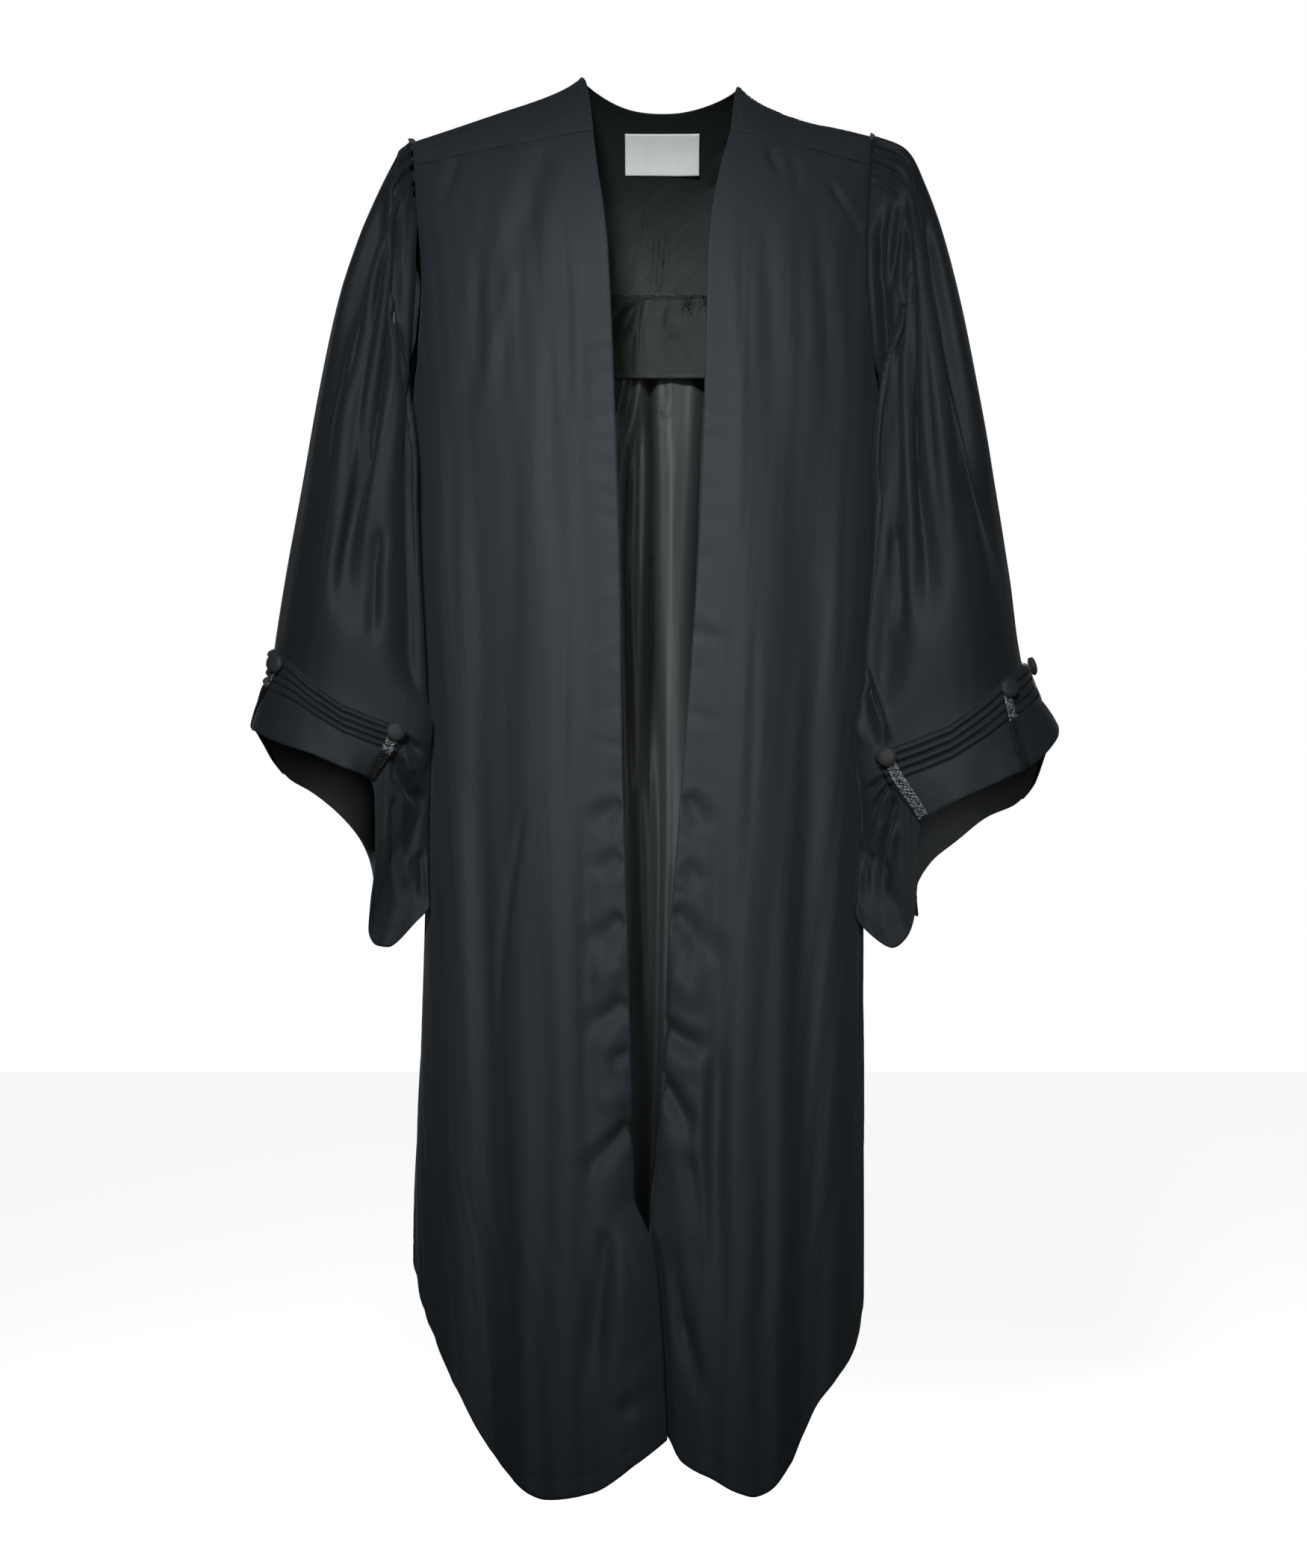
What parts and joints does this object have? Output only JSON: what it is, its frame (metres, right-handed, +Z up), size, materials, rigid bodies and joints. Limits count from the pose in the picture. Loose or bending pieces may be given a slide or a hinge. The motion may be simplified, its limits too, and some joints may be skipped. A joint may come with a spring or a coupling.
{
  "type": "advocate gown",
  "caption": "Open-fronted full-length black gown with a shoulder yoke, pleated back, wide bell sleeves tucked up in front under braid and buttons.",
  "frame": {"origin": "between the wearer's shoulders at the neck, on the shoulder line, level with the wearer's right neck point: the shoulders hold the gown up here", "axes": "+Z up, -Y the way the wearer faces, +X towards the wearer's left"},
  "size_m": [0.721, 0.3005, 1.2435],
  "materials": {
    "cloth": "black satin-faced suiting, soft sheen down the folds",
    "braid": "glossy black silk braid",
    "button": "button covered in woven silk",
    "label": "plain white woven label, bare"
  },
  "bodies": {
    "root": {"yoke": "cloth", "front_right": "cloth", "front_left": "cloth", "back": "cloth", "stay": "cloth", "label": "label", "sleeve_right": "cloth", "cuff_right": "cloth", "braid_outer_right": "braid", "button_outer_right": "button", "braid_inner_right": "braid", "button_inner_right": "button", "braid_rear_right": "braid", "button_rear_right": "button", "sleeve_left": "cloth", "cuff_left": "cloth", "braid_outer_left": "braid", "button_outer_left": "button", "braid_inner_left": "braid", "button_inner_left": "button", "braid_rear_left": "braid", "button_rear_left": "button"}
  },
  "joints": []
}
